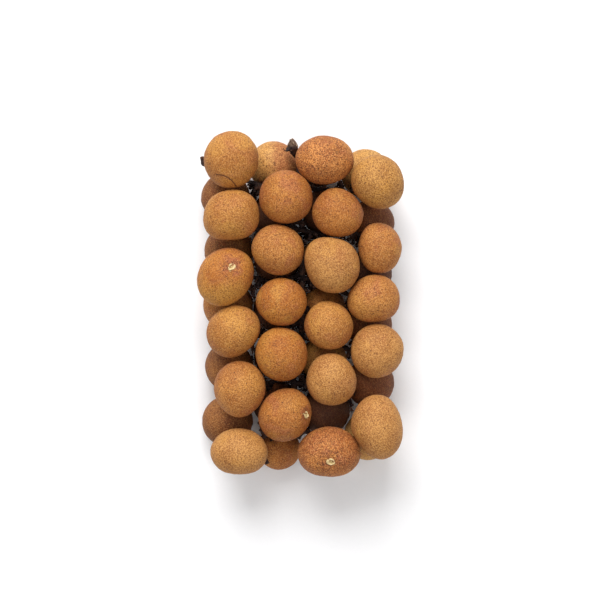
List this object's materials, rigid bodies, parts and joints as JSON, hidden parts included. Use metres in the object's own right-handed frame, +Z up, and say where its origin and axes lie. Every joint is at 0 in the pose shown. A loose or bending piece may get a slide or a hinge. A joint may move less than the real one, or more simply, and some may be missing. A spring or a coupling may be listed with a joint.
{
  "type": "longan bunch",
  "caption": "Bunch of round, tan longan fruits with thin leathery rinds, crowded about a dark, branching woody stalk and laid down.",
  "frame": {"origin": "middle of the bunch's footprint, on the surface that it lies on", "axes": "+Z up, +Y along the stalk towards its cut end, +X across the bunch"},
  "size_m": [0.0988, 0.1648, 0.0481],
  "materials": {
    "longan_rind": "matte, finely speckled rind",
    "stalk_bark": "rough bark"
  },
  "bodies": {
    "root": {"stalk": "stalk_bark", "longan_01": "longan_rind", "longan_02": "longan_rind", "longan_03": "longan_rind", "longan_04": "longan_rind", "longan_05": "longan_rind", "longan_06": "longan_rind", "longan_07": "longan_rind", "longan_08": "longan_rind", "longan_09": "longan_rind", "longan_10": "longan_rind", "longan_11": "longan_rind", "longan_12": "longan_rind", "longan_13": "longan_rind", "longan_14": "longan_rind", "longan_15": "longan_rind", "longan_16": "longan_rind", "longan_17": "longan_rind", "longan_18": "longan_rind", "longan_19": "longan_rind", "longan_20": "longan_rind", "longan_21": "longan_rind", "longan_22": "longan_rind", "longan_23": "longan_rind", "longan_24": "longan_rind", "longan_25": "longan_rind", "longan_26": "longan_rind", "longan_27": "longan_rind", "longan_28": "longan_rind", "longan_29": "longan_rind", "longan_30": "longan_rind", "longan_31": "longan_rind", "longan_32": "longan_rind", "longan_33": "longan_rind", "longan_34": "longan_rind", "longan_35": "longan_rind", "longan_36": "longan_rind", "longan_37": "longan_rind", "longan_38": "longan_rind", "longan_39": "longan_rind", "longan_40": "longan_rind", "longan_41": "longan_rind", "longan_42": "longan_rind", "longan_43": "longan_rind", "longan_44": "longan_rind", "longan_45": "longan_rind", "longan_46": "longan_rind"}
  },
  "joints": []
}
